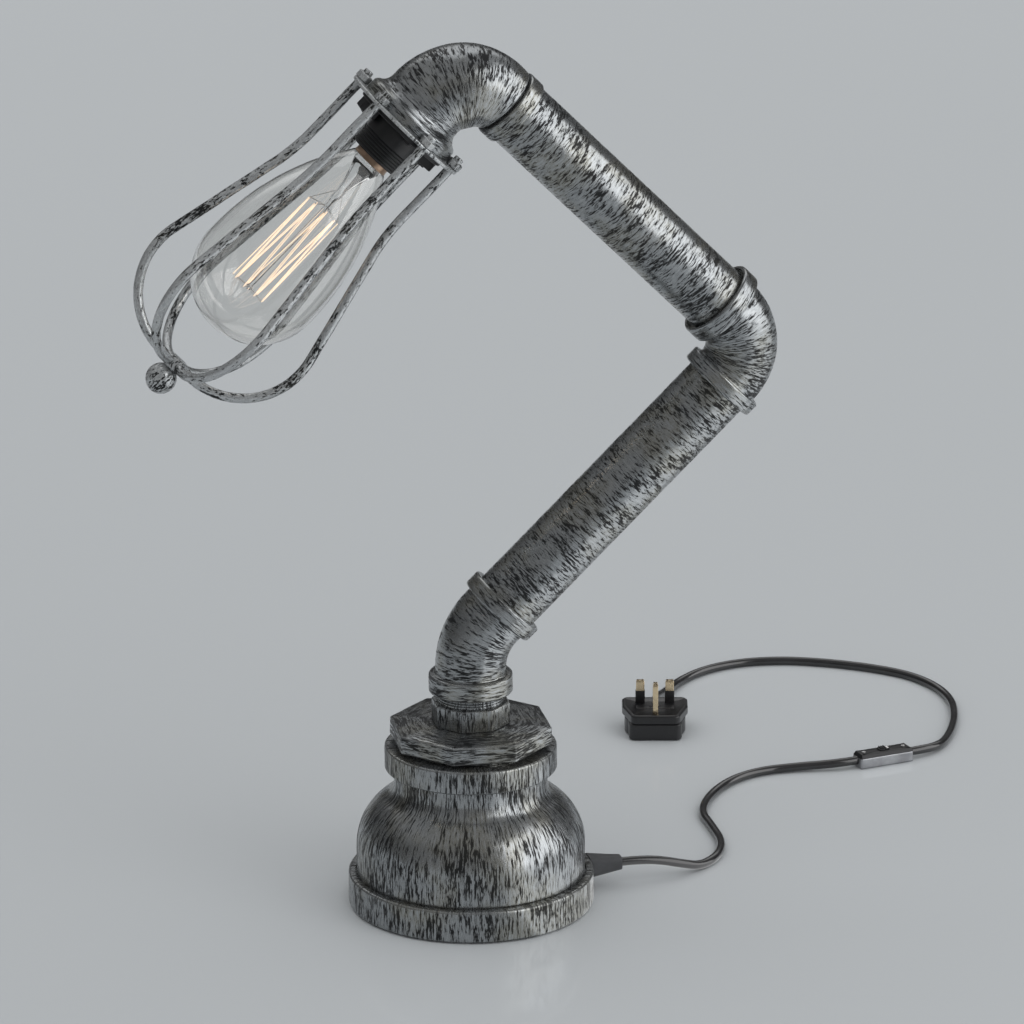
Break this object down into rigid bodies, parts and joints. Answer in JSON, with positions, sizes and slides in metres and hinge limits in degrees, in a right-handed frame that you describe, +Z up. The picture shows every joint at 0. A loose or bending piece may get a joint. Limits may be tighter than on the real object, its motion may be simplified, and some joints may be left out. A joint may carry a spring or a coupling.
{
  "type": "table lamp",
  "caption": "Table lamp of iron pipe fittings: bell base, swivelling pipe arms, caged filament bulb, cord with in-line switch and plug.",
  "frame": {"origin": "centre of the stand on the table, at the underside of the foot pad", "axes": "+Z up; both pipes lie in the XZ plane, the lower pipe leans towards +X and the head hangs over -X"},
  "size_m": [0.6684, 0.5335, 0.6249],
  "materials": {
    "cast_metal": "black base coat dry-brushed with antique silver, semi-gloss",
    "pipe_metal": "black base coat dry-brushed with antique silver, semi-gloss",
    "cage_metal": "black base coat speckled with antique silver",
    "plate_metal": "plain black paint",
    "screw_steel": "bright zinc",
    "pad_rubber": "matte foam rubber",
    "ballast_iron": "raw casting",
    "relief_rubber": "matte moulded rubber",
    "gland_brass": "plain turned",
    "cord_sheath": "glossy PVC sheath",
    "switch_silver": "satin",
    "switch_black": "satin moulding",
    "slider_black": "glossy with a white mark",
    "plug_black": "satin moulding",
    "pin_brass": "bright plated",
    "sleeve_black": "satin",
    "fuse_ceramic": "ceramic tube",
    "holder_black": "satin moulded",
    "contact_brass": "plain",
    "cap_brass": "aged",
    "insulator_black": "glassy",
    "contact_solder": "solder",
    "bulb_glass": "clear",
    "stem_glass": "clear",
    "support_wire": "thin wire",
    "filament_glow": "glowing carbon filament"
  },
  "bodies": {
    "stand": {"reducer_base": "cast_metal", "bottom_plate": "plate_metal", "plate_screws": "screw_steel", "foot_pad": "pad_rubber", "ballast_disc": "ballast_iron", "strain_relief": "relief_rubber", "gland_nut": "gland_brass", "octagon_bushing": "cast_metal", "octagon_nipple": "cast_metal", "cable_in_stand": "cord_sheath", "mains_cord_1": "cord_sheath", "mains_cord_2": "cord_sheath", "switch_base": "switch_silver", "switch_cover": "switch_black", "switch_screws": "screw_steel", "switch_contacts": "contact_brass", "plug_cover": "plug_black", "plug_base": "plug_black", "plug_live_pins": "pin_brass", "plug_earth_pin": "pin_brass", "pin_sleeves": "sleeve_black", "fuse_carrier": "plug_black", "plug_fuse": "fuse_ceramic"},
    "lower_arm": {"lower_elbow": "cast_metal", "lower_pipe": "pipe_metal", "cable_in_lower_pipe": "cord_sheath"},
    "upper_arm": {"middle_elbow": "cast_metal", "upper_pipe": "pipe_metal", "pipe_band": "pipe_metal", "cable_in_upper_pipe": "cord_sheath"},
    "head": {"top_elbow": "cast_metal", "cage_ring": "cage_metal", "cage_wire_1": "cage_metal", "cage_wire_2": "cage_metal", "cage_wire_3": "cage_metal", "cage_wire_4": "cage_metal", "cage_wire_5": "cage_metal", "cage_wire_6": "cage_metal", "cage_nuts": "cage_metal", "cage_hub": "cage_metal", "cage_knob": "cage_metal", "holder_bracket": "holder_black", "holder_screws": "screw_steel", "holder_body": "holder_black", "holder_skirt": "holder_black", "holder_latch": "holder_black", "holder_contacts": "contact_brass", "bulb_cap": "cap_brass", "bulb_insulator": "insulator_black", "bulb_contact": "contact_solder", "bulb_glass": "bulb_glass", "bulb_stem": "stem_glass", "filament_supports": "support_wire", "bulb_filament": "filament_glow", "cable_in_head": "cord_sheath"},
    "slider": {"switch_slider": "slider_black"}
  },
  "joints": [
    {"name": "base_swivel", "type": "hinge", "parent": "stand", "child": "lower_arm", "pos_m": [0, 0, 0.16], "axis": [0, 0, 1], "range_deg": [-170, 170]},
    {"name": "elbow_swivel", "type": "hinge", "parent": "lower_arm", "child": "upper_arm", "pos_m": [0.20563, 0, 0.40163], "axis": [0.7071, 0, 0.7071], "range_deg": [-80, 80]},
    {"name": "head_swivel", "type": "hinge", "parent": "upper_arm", "child": "head", "pos_m": [-0.00361, 0, 0.61086], "axis": [-0.7071, 0, 0.7071], "range_deg": [-120, 120]},
    {"name": "switch_slide", "type": "slide", "parent": "stand", "child": "slider", "axis": [0.9703, 0.2419, 0], "range_m": [0, 0.003]}
  ]
}
